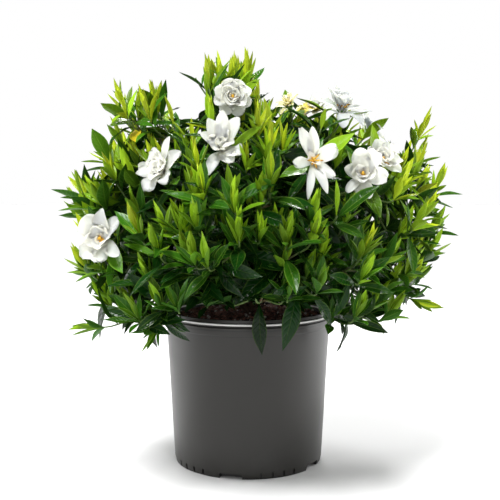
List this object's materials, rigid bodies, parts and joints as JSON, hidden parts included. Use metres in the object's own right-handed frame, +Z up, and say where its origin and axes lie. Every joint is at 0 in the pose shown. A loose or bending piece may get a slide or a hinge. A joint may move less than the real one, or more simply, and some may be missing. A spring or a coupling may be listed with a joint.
{
  "type": "potted gardenia",
  "caption": "Bushy gardenia shrub with glossy pointed leaves and white double blooms, growing in a plain round nursery pot.",
  "frame": {"origin": "middle of the pot's flat underside, on the surface that it stands on", "axes": "+Z up; -Y towards the side that the picture shows; +X to that view's right"},
  "size_m": [0.5619, 0.5554, 0.5735],
  "materials": {
    "pot": "satin grey-brown moulded plastic",
    "soil": "damp bark chips with white perlite",
    "bark": "rough brown twig bark",
    "leaf": "glossy leathery green leaf, paler where young",
    "petal": "soft waxy white petal",
    "stamen": "powdery yellow"
  },
  "bodies": {
    "root": {"pot": "pot", "soil": "soil", "trunk": "bark", "shoot_01": "leaf", "shoot_02": "leaf", "shoot_03": "leaf", "shoot_04": "leaf", "shoot_05": "leaf", "shoot_06": "leaf", "shoot_07": "leaf", "shoot_08": "leaf", "shoot_09": "leaf", "shoot_10": "leaf", "shoot_11": "leaf", "shoot_12": "leaf", "shoot_13": "leaf", "shoot_14": "leaf", "shoot_15": "leaf", "shoot_16": "leaf", "shoot_17": "leaf", "shoot_18": "leaf", "shoot_19": "leaf", "shoot_20": "leaf", "shoot_21": "leaf", "shoot_22": "leaf", "shoot_23": "leaf", "shoot_24": "leaf", "shoot_25": "leaf", "shoot_26": "leaf", "shoot_27": "leaf", "shoot_28": "leaf", "shoot_29": "leaf", "shoot_30": "leaf", "shoot_31": "leaf", "shoot_32": "leaf", "shoot_33": "leaf", "shoot_34": "leaf", "shoot_35": "leaf", "shoot_36": "leaf", "shoot_37": "leaf", "shoot_38": "leaf", "bloom_01": "petal", "bloom_02": "petal", "bloom_03": "petal", "bloom_04": "petal", "bloom_05": "petal", "bloom_06": "petal", "bloom_07": "petal", "bloom_08": "petal", "bloom_09": "petal", "bloom_10": "petal", "bloom_11": "petal", "heart_01": "stamen", "heart_04": "stamen", "heart_05": "stamen", "heart_06": "stamen", "heart_07": "stamen", "heart_08": "stamen"}
  },
  "joints": []
}
